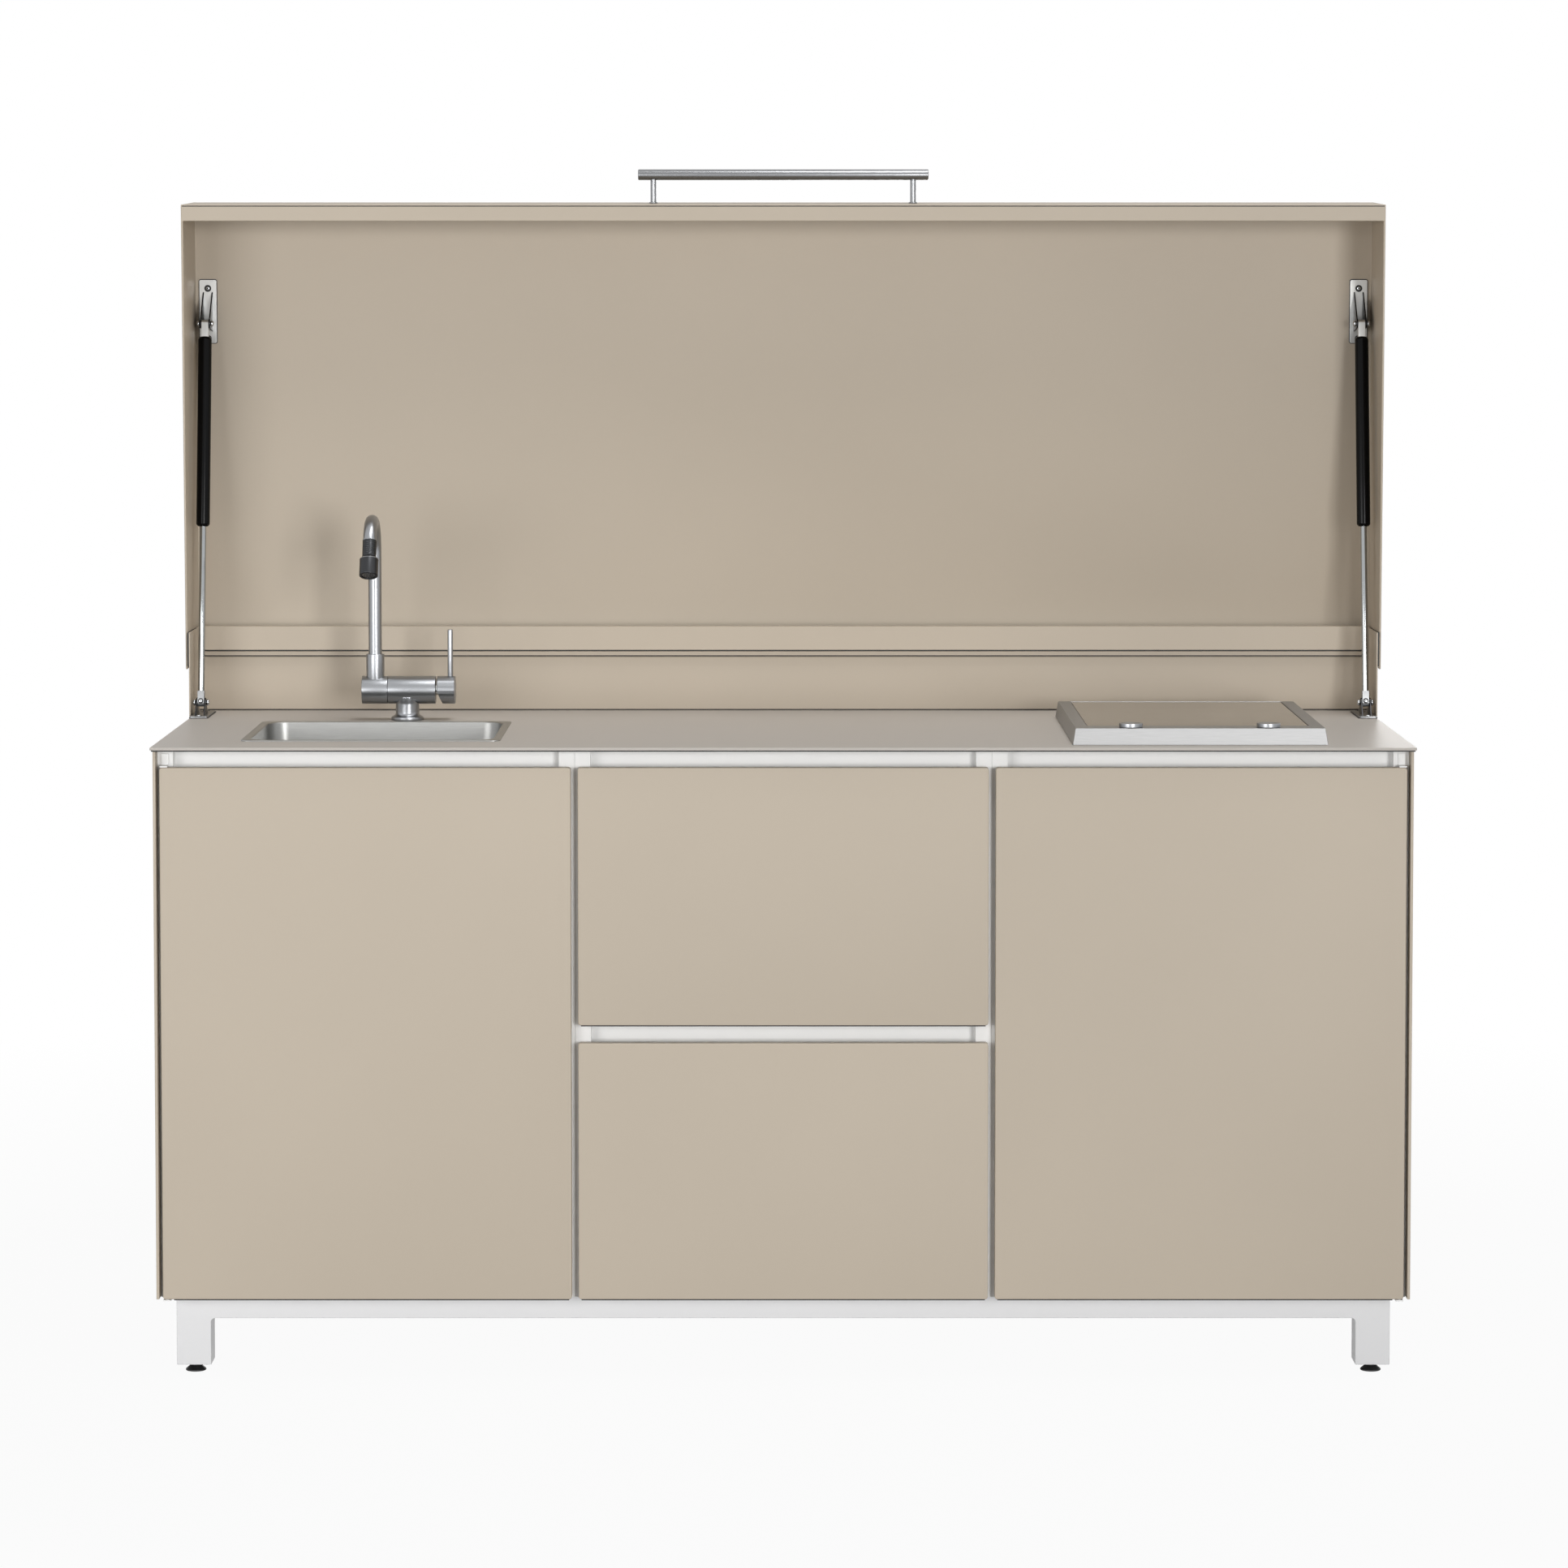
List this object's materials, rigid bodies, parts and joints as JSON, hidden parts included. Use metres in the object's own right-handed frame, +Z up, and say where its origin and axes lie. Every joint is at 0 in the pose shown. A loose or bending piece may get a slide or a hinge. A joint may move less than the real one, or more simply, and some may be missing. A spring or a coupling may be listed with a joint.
{
  "type": "outdoor kitchen unit",
  "caption": "Sheet-metal outdoor kitchen on a footed base, with doors and drawers, a sink with a fold-down tap, a raised fry-top hob and a gas-strut box lid.",
  "frame": {"origin": "centre of the bounding box on the floor, with the lid open as pictured", "axes": "+X to the right along the worktop, +Y to the back, +Z up; the doors and drawers face -Y"},
  "size_m": [1.831, 0.6864, 1.7577],
  "materials": {
    "taupe_powder_coat": "fine satin powder coat, taupe",
    "white_powder_coat": "satin powder coat, white",
    "worktop_coat": "satin grey-taupe coat on a thin metal top",
    "brushed_stainless": "brushed stainless steel",
    "zinc_plated_steel": "bright zinc-plated steel",
    "black_moulded": "matt black moulded plastic",
    "black_cylinder": "semi-gloss black painted tube",
    "brass_cartridge": "machined brass",
    "polished_fry_plate": "polished steel plate that mirrors the taupe lid",
    "galvanised_housing": "galvanised sheet"
  },
  "bodies": {
    "unit": {"base_frame": "white_powder_coat", "carcass_left": "white_powder_coat", "carcass_centre": "white_powder_coat", "carcass_right": "white_powder_coat", "side_panel_left": "taupe_powder_coat", "side_panel_right": "taupe_powder_coat", "back_panel": "taupe_powder_coat", "worktop": "worktop_coat", "upstand": "taupe_powder_coat", "upstand_rail": "taupe_powder_coat", "splash_panel": "taupe_powder_coat", "lid_hinge_fixed_leaf": "zinc_plated_steel", "lid_hinge_pin": "zinc_plated_steel", "sink_bowl": "brushed_stainless", "sink_waste": "black_moulded", "tap_body": "brushed_stainless", "hob_frame": "brushed_stainless", "hob_plate": "polished_fry_plate", "hob_housing": "galvanised_housing", "strut_base_bracket_left": "zinc_plated_steel", "strut_base_bracket_right": "zinc_plated_steel", "door_pivot_top_left": "white_powder_coat", "door_pivot_top_right": "white_powder_coat", "door_pivot_bottom_left": "white_powder_coat", "door_pivot_bottom_right": "white_powder_coat", "drawer_runner_upper_left": "zinc_plated_steel", "drawer_runner_upper_right": "zinc_plated_steel", "drawer_runner_lower_left": "zinc_plated_steel", "drawer_runner_lower_right": "zinc_plated_steel"},
    "lid": {"lid_shell": "taupe_powder_coat", "lid_handle": "brushed_stainless", "lid_hinge_moving_leaf": "zinc_plated_steel", "strut_lid_bracket_left": "zinc_plated_steel", "strut_lid_bracket_right": "zinc_plated_steel"},
    "strut_lower_left": {"strut_rod_left": "brushed_stainless"},
    "strut_lower_right": {"strut_rod_right": "brushed_stainless"},
    "strut_upper_left": {"strut_cylinder_left": "black_cylinder"},
    "strut_upper_right": {"strut_cylinder_right": "black_cylinder"},
    "door_left": {"door_left": "taupe_powder_coat"},
    "door_right": {"door_right": "taupe_powder_coat"},
    "drawer_upper": {"drawer_front_upper": "taupe_powder_coat", "drawer_box_upper": "white_powder_coat"},
    "drawer_lower": {"drawer_front_lower": "taupe_powder_coat", "drawer_box_lower": "white_powder_coat"},
    "foot_front_left": {"foot_front_left": "black_moulded"},
    "foot_front_right": {"foot_front_right": "black_moulded"},
    "foot_back_left": {"foot_back_left": "black_moulded"},
    "foot_back_right": {"foot_back_right": "black_moulded"},
    "hob_knob_left": {"hob_knob_left": "brushed_stainless"},
    "hob_knob_right": {"hob_knob_right": "brushed_stainless"},
    "strainer": {"sink_strainer": "brushed_stainless"},
    "tap_fold": {"tap_fold_joint": "brushed_stainless"},
    "tap_spout": {"tap_spout": "brushed_stainless"},
    "tap_nozzle": {"tap_nozzle": "brushed_stainless"},
    "tap_cartridge": {"tap_cartridge": "brass_cartridge"},
    "tap_lever": {"tap_cap": "brushed_stainless", "tap_lever": "brushed_stainless"}
  },
  "joints": [
    {"name": "lid_hinge", "type": "hinge", "parent": "unit", "child": "lid", "pos_m": [0, 0.30543, 1.048], "axis": [1, 0, 0], "range_deg": [0, 88]},
    {"name": "door_left_hinge", "type": "hinge", "parent": "unit", "child": "door_left", "pos_m": [-0.889, -0.33017, 0.5], "axis": [0, 0, -1], "range_deg": [0, 110]},
    {"name": "door_right_hinge", "type": "hinge", "parent": "unit", "child": "door_right", "pos_m": [0.889, -0.33017, 0.5], "axis": [0, 0, 1], "range_deg": [0, 110]},
    {"name": "drawer_upper_slide", "type": "slide", "parent": "unit", "child": "drawer_upper", "axis": [0, -1, 0], "range_m": [0, 0.45]},
    {"name": "drawer_lower_slide", "type": "slide", "parent": "unit", "child": "drawer_lower", "axis": [0, -1, 0], "range_m": [0, 0.45]},
    {"name": "tap_fold", "type": "hinge", "parent": "unit", "child": "tap_fold", "pos_m": [-0.5719, 0.12383, 0.966], "axis": [1, 0, 0], "range_deg": [0, 90.1]},
    {"name": "tap_swivel", "type": "hinge", "parent": "tap_fold", "child": "tap_spout", "pos_m": [-0.6205, 0.12383, 0.966], "axis": [0, 0, 1], "range_deg": [-60, 60]},
    {"name": "tap_nozzle_tilt", "type": "hinge", "parent": "tap_spout", "child": "tap_nozzle", "pos_m": [-0.6205, 0.01702, 1.17334], "axis": [1, 0, 0], "range_deg": [-8, 8]},
    {"name": "tap_mix", "type": "hinge", "parent": "unit", "child": "tap_cartridge", "pos_m": [-0.5264, 0.12383, 0.966], "axis": [1, 0, 0], "range_deg": [-45, 45]},
    {"name": "tap_flow", "type": "hinge", "parent": "tap_cartridge", "child": "tap_lever", "pos_m": [-0.5264, 0.12383, 0.966], "axis": [0, 1, 0], "range_deg": [0, 18]},
    {"name": "hob_knob_left_turn", "type": "hinge", "parent": "unit", "child": "hob_knob_left", "pos_m": [0.50165, -0.28317, 0.9441], "axis": [0, 0, -1], "range_deg": [0, 270]},
    {"name": "hob_knob_right_turn", "type": "hinge", "parent": "unit", "child": "hob_knob_right", "pos_m": [0.70035, -0.28317, 0.9441], "axis": [0, 0, -1], "range_deg": [0, 270]},
    {"name": "strainer_lift", "type": "slide", "parent": "unit", "child": "strainer", "axis": [0, 0, 1], "range_m": [0, 0.05]},
    {"name": "foot_front_left_screw", "type": "hinge", "parent": "unit", "child": "foot_front_left", "pos_m": [-0.8575, -0.25117, 0], "axis": [0, 0, 1], "continuous": true},
    {"name": "foot_front_right_screw", "type": "hinge", "parent": "unit", "child": "foot_front_right", "pos_m": [0.8575, -0.25117, 0], "axis": [0, 0, 1], "continuous": true},
    {"name": "foot_back_left_screw", "type": "hinge", "parent": "unit", "child": "foot_back_left", "pos_m": [-0.8575, 0.23183, 0], "axis": [0, 0, 1], "continuous": true},
    {"name": "foot_back_right_screw", "type": "hinge", "parent": "unit", "child": "foot_back_right", "pos_m": [0.8575, 0.23183, 0], "axis": [0, 0, 1], "continuous": true},
    {"name": "strut_left_swing", "type": "hinge", "parent": "unit", "child": "strut_lower_left", "pos_m": [-0.893, 0.18683, 0.9417], "axis": [1, 0, 0], "range_deg": [0, 84.02]},
    {"name": "strut_left_stroke", "type": "slide", "parent": "strut_lower_left", "child": "strut_upper_left", "axis": [0, 0.155, 0.9879], "range_m": [-0.21929, 0]},
    {"name": "strut_right_swing", "type": "hinge", "parent": "unit", "child": "strut_lower_right", "pos_m": [0.893, 0.18683, 0.9417], "axis": [1, 0, 0], "range_deg": [0, 84.02]},
    {"name": "strut_right_stroke", "type": "slide", "parent": "strut_lower_right", "child": "strut_upper_right", "axis": [0, 0.155, 0.9879], "range_m": [-0.21929, 0]}
  ],
  "couplings": [
    {"joint": "tap_fold", "follows": "lid_hinge", "ratio": 1.0227},
    {"joint": "strut_left_swing", "follows": "lid_hinge", "ratio": 0.95366},
    {"joint": "strut_left_stroke", "follows": "lid_hinge", "m_per_rad": -0.14245},
    {"joint": "strut_right_swing", "follows": "lid_hinge", "ratio": 0.95366},
    {"joint": "strut_right_stroke", "follows": "lid_hinge", "m_per_rad": -0.14245}
  ]
}
